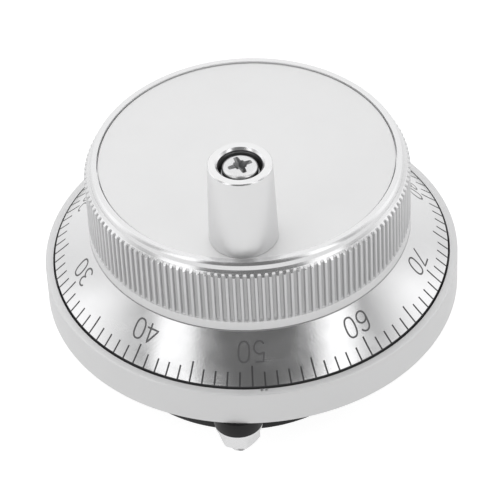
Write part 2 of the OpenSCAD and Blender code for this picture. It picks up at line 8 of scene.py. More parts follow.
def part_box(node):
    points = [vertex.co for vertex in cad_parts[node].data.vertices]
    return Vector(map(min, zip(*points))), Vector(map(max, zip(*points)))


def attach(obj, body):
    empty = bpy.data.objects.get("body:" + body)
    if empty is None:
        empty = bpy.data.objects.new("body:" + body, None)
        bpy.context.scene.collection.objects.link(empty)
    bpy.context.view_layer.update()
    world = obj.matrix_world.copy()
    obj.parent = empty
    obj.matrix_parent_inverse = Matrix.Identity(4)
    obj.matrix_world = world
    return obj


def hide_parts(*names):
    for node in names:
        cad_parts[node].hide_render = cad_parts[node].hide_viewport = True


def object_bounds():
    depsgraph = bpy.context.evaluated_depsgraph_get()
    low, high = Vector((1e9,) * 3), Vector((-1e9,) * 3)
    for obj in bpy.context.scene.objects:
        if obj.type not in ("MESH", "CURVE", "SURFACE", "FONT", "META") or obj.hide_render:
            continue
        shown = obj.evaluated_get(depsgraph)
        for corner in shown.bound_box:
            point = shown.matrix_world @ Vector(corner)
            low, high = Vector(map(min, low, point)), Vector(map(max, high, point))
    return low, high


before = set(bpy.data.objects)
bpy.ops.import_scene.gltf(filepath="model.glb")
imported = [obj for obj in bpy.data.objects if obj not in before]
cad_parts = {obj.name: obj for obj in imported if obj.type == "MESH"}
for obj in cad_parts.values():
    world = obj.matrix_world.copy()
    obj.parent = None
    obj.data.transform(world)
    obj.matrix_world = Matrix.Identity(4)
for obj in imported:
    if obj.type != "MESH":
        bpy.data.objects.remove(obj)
cad_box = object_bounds()

# Camera: a long lens that looks down on the front of the wheel, with the crank
# handle towards it. Distances are in metres, in the frame of the part.
look_at = Vector((0, 0, 0.0072))
tilt = math.radians(42.631)
lean = math.radians(-3.008)
towards = Vector((0, -math.cos(tilt), math.sin(tilt)))
upwards = Vector((0, math.sin(tilt), math.cos(tilt)))
across = Vector((1, 0, 0))
cam_x = math.cos(lean) * across + math.sin(lean) * upwards
cam_y = -math.sin(lean) * across + math.cos(lean) * upwards
distance = 0.608507
camera = bpy.data.cameras.new("camera")
camera.lens = 225.45
camera.sensor_width = 36
camera.shift_x = -0.0026
camera.shift_y = -0.0007
camera.clip_end = 20
eye = bpy.data.objects.new("camera", camera)
turn = Matrix((cam_x, cam_y, towards)).transposed().to_4x4()
eye.matrix_world = Matrix.Translation(look_at + towards * distance) @ turn
bpy.context.collection.objects.link(eye)
bpy.context.scene.camera = eye
bpy.context.scene.view_settings.view_transform = "Standard"

# Studio: a white room with two bright side panels and a dark opening between
# them, in front of the wheel. The panels show only in polished metal.
room = bpy.data.worlds.new("studio")
bpy.context.scene.world = room
room.use_nodes = True
sky = room.node_tree
sky.nodes.clear()


def link(tree, kind, sets=None, **wires):
    """A new shader node. A wire named _0, _1 and so on goes to the socket of that number."""
    node = tree.nodes.new(kind)
    for key, value in (sets or {}).items():
        setattr(node, key, value)
    for key, value in wires.items():
        socket = node.inputs[int(key[1:]) if key[1:].isdigit() else key.replace("_", " ")]
        if isinstance(value, bpy.types.NodeSocket):
            tree.links.new(value, socket)
        else:
            socket.default_value = value
    return node


def ramp(tree, value, stops):
    """A colour band: its stops are (place, grey or colour), and it fades between them."""
    node = link(tree, "ShaderNodeValToRGB", _0=value)
    band = node.color_ramp
    while len(band.elements) < len(stops):
        band.elements.new(0.5)
    for element, (place, tone) in zip(band.elements, stops):
        element.position = place
        element.color = (tone, tone, tone, 1) if isinstance(tone, (int, float)) else (*tone, 1)
    return node.outputs[0]


way = link(sky, "ShaderNodeTexCoord").outputs["Generated"]
axes = link(sky, "ShaderNodeSeparateXYZ", _0=way)
front = link(sky, "ShaderNodeMath", {"operation": "MULTIPLY"}, _0=axes.outputs[1], _1=-1.0)
bearing = link(sky, "ShaderNodeMath", {"operation": "ARCTAN2"}, _0=axes.outputs[0],
               _1=front.outputs[0])
side = link(sky, "ShaderNodeMath", {"operation": "ABSOLUTE"}, _0=bearing.outputs[0])
share = link(sky, "ShaderNodeMath", {"operation": "DIVIDE"}, _0=side.outputs[0], _1=math.pi)
deg = 1 / 180
opening = [(0, 0.1), (35 * deg, 0.13)]
panel = [(40.5 * deg, 1.0), (61 * deg, 1.0)]
back_wall = [(66.5 * deg, 0.3), (72 * deg, 0.34), (80 * deg, 0.48), (92 * deg, 0.75),
             (104 * deg, 0.9), (140 * deg, 0.74), (1, 0.74)]
panels = ramp(sky, share.outputs[0], opening + panel + back_wall)
low = link(sky, "ShaderNodeMapRange", _0=axes.outputs[2], _1=0.1, _2=0.26, _3=0.0, _4=1.0)
walls = link(sky, "ShaderNodeMix", {"data_type": "RGBA"})
sky.links.new(low.outputs[0], walls.inputs[0])
walls.inputs[6].default_value = (0.62, 0.62, 0.62, 1)
sky.links.new(panels, walls.inputs[7])
glow = link(sky, "ShaderNodeBackground", Color=walls.outputs[2], Strength=1.7)
plain = link(sky, "ShaderNodeBackground", Color=(1, 1, 1, 1), Strength=0.6)
white = link(sky, "ShaderNodeBackground", Color=(1, 1, 1, 1), Strength=1.0)
path = link(sky, "ShaderNodeLightPath").outputs
lit = link(sky, "ShaderNodeMixShader", _0=path["Is Glossy Ray"], _1=plain.outputs[0],
           _2=glow.outputs[0])
seen = link(sky, "ShaderNodeMath", {"operation": "MAXIMUM"}, _0=path["Is Camera Ray"],
            _1=path["Is Transmission Ray"])
both = link(sky, "ShaderNodeMixShader", _0=seen.outputs[0], _1=lit.outputs[0], _2=white.outputs[0])
link(sky, "ShaderNodeOutputWorld", _0=both.outputs[0])

# Floor: a plain white sheet under the housing. The eye and the polished metal
# see it as white, and it keeps the part's own soft shadow.
floor_mesh = bpy.data.meshes.new("floor")
shape = bmesh.new()
bmesh.ops.create_circle(shape, cap_ends=True, segments=64, radius=1.6)
shape.to_mesh(floor_mesh)
shape.free()
floor = bpy.data.objects.new("floor", floor_mesh)
floor.location.z = cad_box[0][2] - 0.0001
bpy.context.collection.objects.link(floor)
sheet = bpy.data.materials.new("floor_white")
sheet.use_nodes = True
tree = sheet.node_tree
tree.nodes.clear()
path = link(tree, "ShaderNodeLightPath").outputs
paper = link(tree, "ShaderNodeBsdfDiffuse", Color=(0.85, 0.85, 0.85, 1))
thin = link(tree, "ShaderNodeBsdfDiffuse", Color=(0.3, 0.3, 0.3, 1))
shine = link(tree, "ShaderNodeEmission", Color=(1, 1, 1, 1), Strength=0.9)
bright = link(tree, "ShaderNodeAddShader", _0=thin.outputs[0], _1=shine.outputs[0])
half = link(tree, "ShaderNodeBsdfDiffuse", Color=(0.4, 0.4, 0.4, 1))
faint = link(tree, "ShaderNodeEmission", Color=(1, 1, 1, 1), Strength=0.75)
mirrored = link(tree, "ShaderNodeAddShader", _0=half.outputs[0], _1=faint.outputs[0])
seen = link(tree, "ShaderNodeMath", {"operation": "MAXIMUM"}, _0=path["Is Camera Ray"],
            _1=path["Is Transmission Ray"])
mixed = link(tree, "ShaderNodeMixShader", _0=seen.outputs[0], _1=paper.outputs[0],
             _2=bright.outputs[0])
mixed = link(tree, "ShaderNodeMixShader", _0=path["Is Glossy Ray"], _1=mixed.outputs[0],
             _2=mirrored.outputs[0])
link(tree, "ShaderNodeOutputMaterial", _0=mixed.outputs[0])
floor_mesh.materials.append(sheet)


def softbox(name, place, size, power):
    """A round soft lamp that points at the wheel and doesn't show in its metal."""
    lamp = bpy.data.lights.new(name, "AREA")
    lamp.shape = "DISK"
    lamp.size = size
    lamp.energy = power
    holder = bpy.data.objects.new(name, lamp)
    place = Vector(place)
    aim = place.to_track_quat("Z", "Y").to_matrix().to_4x4()
    holder.matrix_world = Matrix.Translation(place) @ aim
    holder.visible_glossy = False
    bpy.context.collection.objects.link(holder)


softbox("overhead_light", (-0.2, 0.3, 0.9), 0.9, 2.6)
softbox("left_light", (-0.8, -0.45, 0.6), 0.7, 1.3)
softbox("right_light", (0.8, -0.4, 0.6), 0.7, 1.1)

# Bezel ring: the fixed rim of turned, satin-anodised aluminium. It is turned
# from bar, with its outer edges chamfered, and clamped to the panel by studs.
MM = 0.001


def mesh_piece(name, points, faces, body, node, slot, finish, angle=28):
    """A piece from points in millimetres, smooth apart from its real edges."""
    mesh = bpy.data.meshes.new(name)
    mesh.from_pydata([(x * MM, y * MM, z * MM) for x, y, z in points], [], faces)
    shape = bmesh.new()
    shape.from_mesh(mesh)
    bmesh.ops.remove_doubles(shape, verts=shape.verts, dist=1e-7)
    bmesh.ops.recalc_face_normals(shape, faces=shape.faces)
    shape.to_mesh(mesh)
    shape.free()
    mesh.shade_smooth()
    mesh.set_sharp_from_angle(angle=math.radians(angle))
    mesh.materials.append(finish)
    piece = bpy.data.objects.new(name, mesh)
    bpy.context.collection.objects.link(piece)
    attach(piece, body)
    if node:
        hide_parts(node)
    return piece


def rings(profile, n, closed=True, at=(0, 0)):
    """Points and faces of a turned shape. A profile's radius may be a function of angle."""
    points, faces = [], []
    for r, z in profile:
        for i in range(n):
            a = 2 * math.pi * i / n
            rr = r(a) if callable(r) else r
            points.append((at[0] + rr * math.cos(a), at[1] + rr * math.sin(a), z))
    last = len(profile) if closed else len(profile) - 1
    for k in range(last):
        m = (k + 1) % len(profile)
        for i in range(n):
            j = (i + 1) % n
            faces.append((k * n + i, k * n + j, m * n + j, m * n + i))
    return points, faces


def eased(profile, ease, steps=3):
    """Rounds the corners of a closed profile, as a maker breaks the edges of a turned piece."""
    out = []
    count = len(profile)
    nearly_straight = math.radians(170)
    for i, corner in enumerate(profile):
        here = Vector(corner)
        before = Vector(profile[i - 1]) - here
        after = Vector(profile[(i + 1) % count]) - here
        shorter = min(before.length, after.length)
        reach = min(ease, shorter * 0.45)
        if shorter < 1e-6 or before.angle(after) > nearly_straight:
            out.append(tuple(corner))
            continue
        a, b = here + before.normalized() * reach, here + after.normalized() * reach
        for k in range(steps + 1):
            t = k / steps
            p = a * (1 - t) ** 2 + here * 2 * t * (1 - t) + b * t * t
            out.append((p.x, p.y))
    return out


def machined(name, tone, rough, lines=0.12, bump=0.02, centre=(0, 0), spread=0.0, metallic=1.0,
             smudge=0.06, pitch=14, mottle=0.0):
    """Turned metal: fine rings round its own centre, soft smudges and a little wear."""
    mat = bpy.data.materials.new(name)
    mat.use_nodes = True
    tree = mat.node_tree
    bsdf = tree.nodes["Principled BSDF"]
    bsdf.inputs["Metallic"].default_value = metallic
    bsdf.inputs["Anisotropic"].default_value = spread
    place = link(tree, "ShaderNodeTexCoord").outputs["Object"]
    moved = link(tree, "ShaderNodeVectorMath", {"operation": "SUBTRACT"}, _0=place,
                 _1=(centre[0] * MM, centre[1] * MM, 0))
    part = link(tree, "ShaderNodeSeparateXYZ", _0=moved.outputs[0])
    flat = link(tree, "ShaderNodeCombineXYZ", _0=part.outputs[0], _1=part.outputs[1])
    radius = link(tree, "ShaderNodeVectorMath", {"operation": "LENGTH"}, _0=flat.outputs[0])
    along = link(tree, "ShaderNodeMath", {"operation": "MULTIPLY_ADD"}, _0=part.outputs[2],
                 _1=1.37, _2=radius.outputs["Value"])
    fine = link(tree, "ShaderNodeTexNoise", {"noise_dimensions": "1D"}, W=along.outputs[0],
                Scale=pitch / MM, Detail=3.0, Roughness=0.7)
    wide = link(tree, "ShaderNodeTexNoise", Vector=place, Scale=140.0, Detail=3.0, Roughness=0.55)
    low, high = max(0.02, rough - lines), rough + lines
    grain = link(tree, "ShaderNodeMapRange", _0=fine.outputs[0], _1=0.3, _2=0.7, _3=low, _4=high)
    haze = link(tree, "ShaderNodeMapRange", _0=wide.outputs[0], _1=0.35, _2=0.7, _3=-smudge,
                _4=smudge)
    total = link(tree, "ShaderNodeMath", {"operation": "ADD", "use_clamp": True},
                 _0=grain.outputs[0], _1=haze.outputs[0])
    tree.links.new(total.outputs[0], bsdf.inputs["Roughness"])
    tint = link(tree, "ShaderNodeMix", {"data_type": "RGBA"})
    tree.links.new(wide.outputs[0], tint.inputs[0])
    tint.inputs[6].default_value = (*[c * 0.97 for c in tone], 1)
    tint.inputs[7].default_value = (*[min(1, c * 1.03) for c in tone], 1)
    tree.links.new(tint.outputs[2], bsdf.inputs["Base Color"])
    height = fine.outputs[0]
    if mottle:
        specks = link(tree, "ShaderNodeTexNoise", Vector=place, Scale=2600.0, Detail=2.0)
        height = link(tree, "ShaderNodeMath", {"operation": "MULTIPLY_ADD"}, _0=specks.outputs[0],
                      _1=mottle, _2=height).outputs[0]
    relief = link(tree, "ShaderNodeBump", Strength=bump, Distance=0.0001, Height=height)
    tree.links.new(relief.outputs[0], bsdf.inputs["Normal"])
    if spread:
        grain_way = link(tree, "ShaderNodeTangent", {"direction_type": "RADIAL", "axis": "Z"})
        tree.links.new(grain_way.outputs[0], bsdf.inputs["Tangent"])
    return mat


low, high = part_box("bezel_ring")
bezel_r, bezel_top = high.x / MM, high.z / MM
lip_width, floor_z, carrier_r = 1.5, 3.0, 10.52
lip_r = bezel_r - lip_width
chamfer, back_chamfer = 0.18, 0.05
bezel_metal = machined("bezel_anodised", (0.69, 0.69, 0.693), 0.5, lines=0.05, bump=0.03,
                       metallic=0.35)
outline = eased([(carrier_r, 0), (bezel_r - back_chamfer, 0), (bezel_r, back_chamfer),
                 (bezel_r, bezel_top - chamfer), (bezel_r - chamfer, bezel_top),
                 (lip_r, bezel_top), (lip_r, floor_z), (carrier_r, floor_z)], 0.06)
mesh_piece("bezel", *rings(outline, 360), "base", "bezel_ring", "bezel", bezel_metal)

# Index pointer: a bright little block let into the bezel's lip, beside the dial.
# The dial's marks are read against it, and it keeps the shape it has in the model.
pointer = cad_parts["index_pointer"]
pointer.data.materials.clear()
pointer.data.materials.append(machined("index_bright", (0.8, 0.8, 0.81), 0.2))

# Dial: a spun aluminium cone whose sloping face is turned bright. It is screwed
# up under the knob, and turns with it just clear of the bezel's lip.
low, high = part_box("dial")
dial_r, dial_top, dial_low = high.x / MM, high.z / MM, low.z / MM
knob_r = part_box("knob")[1].x / MM
rim_height, edge_drop, past_knob, dial_bore = 1.55, 0.15, 0.13, 12
edge_z = dial_low + rim_height
foot = Vector((dial_r, edge_z - edge_drop))
head = Vector((knob_r + past_knob, dial_top))
slant = head - foot
outward = Vector((slant.y, -slant.x)).normalized()
hollow, edge_round = 0.26, 0.12
steep = math.atan2(outward.y, outward.x)
hub_z = (foot.dot(outward) - edge_round - (dial_r - edge_round) * outward.x) / outward.y
bend = Vector((dial_r - edge_round, hub_z))
bend_s = (bend - foot).dot(slant.normalized())


def dial_face(s, lift=0.0):
    """Radius and height at s millimetres up the dial's face, or round its edge and down."""
    if s >= bend_s:
        t = s / slant.length
        p = foot + slant * t - outward * (hollow * 4 * t * (1 - t)) + outward * lift
        return p.x, p.y
    turned = steep - (bend_s - s) / edge_round
    if turned > 0:
        reach = edge_round + lift
        return bend.x + reach * math.cos(turned), bend.y + reach * math.sin(turned)
    return dial_r + lift, bend.y + turned * edge_round


face_steps, edge_steps, sheet_in, sheet_down = 24, 5, 0.9, 1.2
face = [dial_face(bend_s + (slant.length - bend_s) * k / face_steps)
        for k in range(face_steps + 1)]
rim = [dial_face(bend_s - edge_round * steep * k / edge_steps) for k in range(1, edge_steps + 1)]
under = [(r - sheet_in, z - sheet_down) for r, z in face[1:]]
outline = ([(dial_bore, dial_top - sheet_down), (dial_bore, dial_top)] + list(reversed(face)) + rim
           + [(dial_r, dial_low + 0.1), (dial_r - 0.1, dial_low), (dial_r - 1, dial_low)] + under)
dial_metal = machined("dial_turned", (0.66, 0.66, 0.665), 0.2, lines=0.04, bump=0.06, spread=0.5,
                      pitch=30, mottle=1.5)
dial = mesh_piece("dial_cone", *rings(outline, 360), "wheel", "dial", "dial", dial_metal, angle=20)
# The dial's outer wall below its rounded edge gets a near-black material. This is painted shade
# for the shadow in the narrow gap above the bezel's lip, not a black finish.
dial.data.materials.append(machined("dial_edge_painted_shade", (0.05, 0.05, 0.052), 0.45, lines=0.05,
                                    metallic=0.0))
for side in dial.data.polygons:
    if side.center.z / MM < edge_z - 0.1 and side.center.xy.length / MM > dial_r - 0.05:
        side.material_index = 1


# Dial marks: a hundred fine lines cut into the face and filled with dark paint.
# Every fifth line is longer, and all of them run out to the dial's edge.
def ribbon(path, width, closed=False):
    """A flat filled stroke on the dial's face along a path of (azimuth, s)."""
    lift, depth = 0.012, 0.05
    count = len(path)
    points, faces = [], []
    for i in range(count):
        before = path[i - 1] if closed or i else path[i]
        after = path[(i + 1) % count] if closed or i < count - 1 else path[i]
        r = dial_face(path[i][1])[0]
        du, dv = (after[0] - before[0]) * r, after[1] - before[1]
        size = math.hypot(du, dv) or 1
        nu, nv = -dv / size * width / 2, du / size * width / 2
        for side in (1, -1):
            for out in (lift, -depth):
                s = path[i][1] + side * nv
                rr, zz = dial_face(s, out)
                a = path[i][0] + side * nu / r - math.pi / 2
                points.append((rr * math.cos(a), rr * math.sin(a), zz))
    last = count if closed else count - 1
    for i in range(last):
        p, q = 4 * i, 4 * ((i + 1) % count)
        faces += [(p, q, q + 2, p + 2), (p + 1, p + 3, q + 3, q + 1), (p, p + 1, q + 1, q),
                  (p + 2, q + 2, q + 3, p + 3)]
    if not closed:
        e = 4 * (count - 1)
        faces += [(0, 2, 3, 1), (e, e + 1, e + 3, e + 2)]
    return points, faces


def gather(parts):
    """Puts the points and faces of several shapes together."""
    points, faces = [], []
    for some, more in parts:
        base = len(points)
        points += some
        faces += [tuple(i + base for i in f) for f in more]
    return points, faces


divisions, division, rest_turn = 100, 3.6, -1.586
first_mark = math.radians(rest_turn - division * divisions / 2)
mark_step = math.radians(division)
long_mark, short_mark, mark_width = 3.9, 2.7, 0.33
over_edge = (-0.5, -0.3, -0.15, 0, 0.15, 0.3)
paint = machined("mark_paint", (0.05, 0.05, 0.052), 0.45, lines=0.05, metallic=0.0)
marks = []
for n in range(divisions):
    a = first_mark + mark_step * n
    length = short_mark if n % 5 else long_mark
    marks.append(ribbon([(a, s) for s in (*over_edge, 1, 2, length)], mark_width))
mesh_piece("dial_marks", *gather(marks), "wheel", None, "mark", paint)


# Dial numbers: plain thin figures, engraved with a single-line tool and filled
# like the marks. They stand with their feet towards the knob.
def oval(cx, cy, rx, ry, a0, a1, n, power=2.0):
    """Points round an oval from angle a0 to a1. A higher power makes it squarer."""
    out = []
    for k in range(n + 1):
        a = math.radians(a0 + (a1 - a0) * k / n)
        c, s = math.cos(a), math.sin(a)
        out.append((cx + rx * math.copysign(abs(c) ** (2 / power), c),
                    cy + ry * math.copysign(abs(s) ** (2 / power), s)))
    return out


six = (oval(0.28, 0.72, 0.25, 0.28, 25, 165, 12) + [(0.015, 0.6), (0.005, 0.45)]
       + oval(0.265, 0.29, 0.26, 0.29, 180, 538, 28))
figures = {
    "0": [oval(0.26, 0.5, 0.26, 0.5, 0, 352, 44, 2.5) + [(0.52, 0.5)]],
    "1": [[(0.1, 0.78), (0.3, 1.0), (0.3, 0.5), (0.3, 0)]],
    "2": [oval(0.26, 0.74, 0.25, 0.26, 165, -25, 16) + [(0.3, 0.35), (0.02, 0), (0.52, 0)]],
    "3": [oval(0.25, 0.76, 0.22, 0.24, 150, -90, 16) + oval(0.25, 0.27, 0.26, 0.27, 84, -155, 18)],
    "4": [[(0.42, 0), (0.42, 1.0), (-0.02, 0.27), (0.62, 0.27)]],
    "5": [[(0.48, 1.0), (0.1, 1.0), (0.05, 0.55)] + oval(0.25, 0.31, 0.26, 0.31, 125, -150, 20)],
    "6": [six],
    "7": [[(0, 1.0), (0.52, 1.0), (0.34, 0.5), (0.18, 0)]],
    "8": [oval(0.26, 0.76, 0.21, 0.24, 0, 352, 24) + [(0.47, 0.76)],
          oval(0.26, 0.27, 0.26, 0.27, 0, 352, 26) + [(0.52, 0.27)]],
    "9": [[(0.52 - x, 1 - y) for x, y in six]],
}
tall, gap, stroke_width, longest_step, typical_r = 3.87, 0.88, 0.36, 0.4, 33
figure_width = tall * 0.52
foot_gap = 1.85
foot_s = slant.length - foot_gap
middle_r = dial_face(foot_s - tall / 2)[0]
strokes = []
for number in range(0, divisions, 10):
    word = str(number)
    wide = figure_width * len(word) + gap * (len(word) - 1)
    middle = first_mark + mark_step * number
    for place, letter in enumerate(word):
        left = place * (figure_width + gap) - wide / 2
        for stroke in figures[letter]:
            closed = math.dist(stroke[0], stroke[-1]) < 1e-3
            path = [(middle - (left + x * tall) / middle_r, foot_s - y * tall)
                    for x, y in (stroke[:-1] if closed else stroke)]
            dense = [path[0]]
            for p, q in zip(path, path[1:] + (path[:1] if closed else [])):
                size = math.hypot((q[0] - p[0]) * typical_r, q[1] - p[1])
                cuts = max(1, round(size / longest_step))
                for k in range(1, cuts + 1):
                    t = k / cuts
                    dense.append((p[0] + (q[0] - p[0]) * t, p[1] + (q[1] - p[1]) * t))
            if closed:
                dense = dense[:-1]
            strokes.append(ribbon(dense, stroke_width, closed=closed))
number_paint = machined("number_paint", (0.1, 0.1, 0.102), 0.4, lines=0.05, metallic=0.0)
mesh_piece("dial_numbers", *gather(strokes), "wheel", None, "mark", number_paint)

# Knob: one aluminium turning with a straight knurl round its grip. The knurl
# runs out in a polished bevel under the plain band, and the rim is bevelled too.
knurl_teeth, knurl_depth, knurl_start = 144, 0.53, 0.4
flange_h, grip_h, bevel, band_h = 2.2, 11.1, 1.08, 1.0
rim_bevel, rim_width, hub_r, screw_bore = 0.5, 0.97, 9.0, 4.02
wall, web_drop, run_out, bevel_step, bevel_steps = 3.6, 4.0, 0.9, 0.06, 10
flange_z = dial_top + flange_h
bevel_z = flange_z + grip_h
band_r = knob_r - bevel
band_z = bevel_z + bevel
rim_z = band_z + band_h
rim_r = band_r - rim_bevel
seat_r = rim_r - rim_width
cover_low, cover_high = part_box("cover_disc")
seat_z = cover_low.z / MM
# One tooth and its groove, as (share of the pitch, share of the depth).
tooth = [(-0.5, 1.0), (-0.36, 1.0), (-0.29, 0.93), (-0.25, 0.7), (-0.21, 0.3), (-0.17, 0.06),
         (-0.11, 0.0), (0.11, 0.0), (0.17, 0.06), (0.21, 0.3), (0.25, 0.7), (0.29, 0.93),
         (0.36, 1.0)]


def grip(profile_r, z, cut=1.0):
    """Points of one level of the grip, cut by the knurl and by the bevel above it."""
    level = []
    for k in range(knurl_teeth):
        for share, depth in tooth:
            a = 2 * math.pi * (k + share + knurl_start) / knurl_teeth
            r = min(knob_r - knurl_depth * depth * cut, profile_r)
            level.append((r * math.cos(a), r * math.sin(a), z))
    return level


def plain(r, z):
    """Points of one plain level, at the same angles as the grip's."""
    return grip(r, z, cut=0)


def stack(levels, closed=True):
    """Joins levels of points with faces. A closed stack's last level joins its first."""
    n = len(levels[0])
    points = [p for level in levels for p in level]
    faces = []
    for k in range(len(levels) if closed else len(levels) - 1):
        m = (k + 1) % len(levels)
        for i in range(n):
            j = (i + 1) % n
            faces.append((k * n + i, k * n + j, m * n + j, m * n + i))
    return points, faces


inner_r, web_z = knob_r - knurl_depth - wall, seat_z - web_drop
past_edge = knob_r + 1
levels = [plain(*p) for p in eased([(hub_r, dial_top - 1), (hub_r, web_z), (inner_r - 1, web_z),
                                    (inner_r, web_z - 1), (inner_r, dial_top)], 0.05, 1)]
levels += [plain(knob_r - 0.2, dial_top), plain(knob_r - 0.16, dial_top + 0.03),
           plain(knob_r, dial_top + 0.22), plain(knob_r, flange_z)]
for share in (0.02, 0.1, 0.25, 0.5, 1):
    levels.append(grip(past_edge, flange_z + run_out * share, math.sqrt(1 - (1 - share) ** 2)))
levels += [grip(past_edge, z) for z in (flange_z + 4, bevel_z - 4, bevel_z - 0.02)]
levels += [grip(knob_r - bevel_step * k, bevel_z + bevel_step * k) for k in range(1, bevel_steps)]
knurl_end = bevel_step * bevel_steps
levels += [plain(*p) for p in eased([(knob_r - knurl_end, bevel_z + knurl_end), (band_r, band_z),
                                     (band_r, rim_z), (rim_r, rim_z + rim_bevel),
                                     (seat_r, rim_z + rim_bevel), (seat_r, seat_z)], 0.04, 2)]
levels += [plain(screw_bore, seat_z), plain(screw_bore, dial_top - 1)]
knob_metal = machined("knob_turned", (0.68, 0.68, 0.685), 0.21, lines=0.05, bump=0.03,
                      metallic=0.88)
knurl_metal = machined("knurl_blasted", (0.62, 0.62, 0.625), 0.42, lines=0.05, bump=0.05,
                       metallic=0.6)
knob = mesh_piece("knob_body", *stack(levels), "wheel", "knob", "knob", knob_metal, angle=24)
flange_metal = machined("flange_satin", (0.78, 0.78, 0.783), 0.45, lines=0.05, bump=0.03,
                        metallic=0.4)
# The knurl's groove floors get a darker copy of the knurl's metal. This is painted shade in the
# grooves.
groove_shade_metal = machined("groove_painted_shade", (0.51, 0.51, 0.513), 0.5, lines=0.05, bump=0.05,
                        metallic=0.6)
# The rim's inner wall above the cover disc gets a lighter copy of the knob's metal. This is
# painted light, which lifts the shaded gap round the disc.
seat_light_metal = machined("seat_painted_light", (0.86, 0.86, 0.862), 0.35, lines=0.05, metallic=0.6)
for finish in (knurl_metal, flange_metal, groove_shade_metal, seat_light_metal):
    knob.data.materials.append(finish)
on_knurl, on_flange, in_groove, on_seat, skin_r = 1, 2, 3, 4, 30
for face in knob.data.polygons:
    z, out = face.center.z / MM, face.center.xy.length / MM
    if dial_top < z < bevel_z and out > skin_r:
        if z < flange_z + 0.01:
            face.material_index = on_flange
        else:
            face.material_index = in_groove if out < knob_r - knurl_depth * 0.6 else on_knurl
    elif z > seat_z and abs(out - seat_r) < 0.02:
        face.material_index = on_seat

# Cover disc: a flat disc, sunk a little below the rim. It is held by double-sided
# film, has a matt silver face, and hides the screw that holds the knob.
plate_gap = 0.11
plate_r, plate_z = cover_high.x / MM - plate_gap, cover_high.z / MM
axle_low, axle_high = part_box("handle_axle")
crank = ((axle_low.x + axle_high.x) / 2 / MM, (axle_low.y + axle_high.y) / 2 / MM)
cover_paint = machined("cover_silver", (0.76, 0.76, 0.762), 0.5, lines=0.02, bump=0.01,
                       metallic=0.3, smudge=0.03)
outline = eased([(0.02, seat_z), (plate_r, seat_z), (plate_r, plate_z), (0.02, plate_z)], 0.08)
mesh_piece("cover_plate", *rings(outline, 360), "wheel", "cover_disc", "cover", cover_paint)

# Crank handle: a tapered aluminium sleeve that spins on a shoulder screw. It is
# blasted and anodised, with bright chamfers round the counterbore where the screw's head sits. The
# counterbore's wall is painted dark as shade.
low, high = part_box("handle_sleeve")
foot_drop, taper = 0.12, 0.45
foot_z, top_z = low.z / MM - foot_drop, high.z / MM
base_r = (high.x - low.x) / 2 / MM
top_r = base_r - taper
bore_r, bore_depth, bore_edge, top_edge, foot_edge = 4.15, 3.4, 0.42, 0.22, 0.05
groove_depth, groove_step, grooves = 0.08, 0.22, 12
sleeve_metal = machined("sleeve_anodised", (0.765, 0.765, 0.768), 0.42, lines=0.03, bump=0.02,
                        centre=crank, metallic=0.6)
# The counterbore's wall gets a dark copy of the metal. This is painted shade inside the hole.
bore_shade_metal = machined("bore_painted_shade", (0.3, 0.3, 0.303), 0.35, lines=0.15, bump=0.1, centre=crank)
bore_wall = [(bore_r + (groove_depth if k % 2 else 0.0), top_z - bore_edge - 0.2 - groove_step * k)
             for k in range(grooves)]
outline = (eased([(bore_r, foot_z), (base_r - foot_edge, foot_z), (base_r, foot_z + foot_edge),
                  (top_r, top_z - top_edge), (top_r - top_edge, top_z),
                  (bore_r + bore_edge, top_z), (bore_r, top_z - bore_edge)], 0.05)
           + bore_wall + [(bore_r, top_z - bore_depth)])
sleeve = mesh_piece("crank_sleeve", *rings(outline, 180, at=crank), "crank", "handle_sleeve",
                    "sleeve", sleeve_metal)
sleeve.data.materials.append(bore_shade_metal)
sleeve.data.materials.append(knob_metal)
in_bore, on_edges = 1, 2
for face in sleeve.data.polygons:
    middle = face.center / MM
    out = math.dist(middle.xy, crank)
    if middle.z < top_z - bore_edge and out < bore_r + 0.1:
        face.material_index = in_bore
    elif middle.z < top_z - 0.02 and (out < bore_r + bore_edge or middle.z > top_z - top_edge):
        face.material_index = on_edges

# Shoulder screw: the polished steel axle of the crank. Its pan head sits down in
# the sleeve's counterbore, and has a cross recess for a screwdriver.
steel_bright = machined("screw_bright", (0.64, 0.64, 0.645), 0.27, lines=0.05, bump=0.03,
                        centre=crank)
# The cross recess gets a dark copy of the screw's steel. This is painted shade inside the recess.
recess_shade_metal = machined("recess_painted_shade", (0.26, 0.26, 0.263), 0.4, lines=0.1, bump=0.05,
                        centre=crank)
shank_r, shank_tip, shoulder_r, shank_depth, shank_edge = 1.775, 1.7, 2.5, 5, 0.1
head_r, head_h, head_drop, turned = (axle_high.x - axle_low.x) / 2 / MM, 1.75, 0.25, 96
head_z = axle_high.z / MM - head_drop - head_h
head_top = head_z + head_h
axle = [(0.05, seat_z - shank_depth), (shank_tip, seat_z - shank_depth),
        (shank_r, seat_z - (shank_depth - shank_edge)), (shank_r, seat_z), (shoulder_r, seat_z),
        (shoulder_r, head_z), (head_r, head_z)]
for k in range(9):
    a = math.pi / 2 * k / 8
    axle.append((head_r * (0.55 + 0.45 * math.cos(a)),
                 head_z + head_h * (0.58 + 0.42 * math.sin(a))))
axle.append((0.05, head_top))
points, faces = rings(axle, turned, closed=False, at=crank)
faces.append(tuple((len(axle) - 1) * turned + i for i in range(turned)))
faces.append(tuple(reversed(range(turned))))
screw = mesh_piece("crank_screw", points, faces, "wheel", "handle_axle", "screw", steel_bright,
                   angle=25)

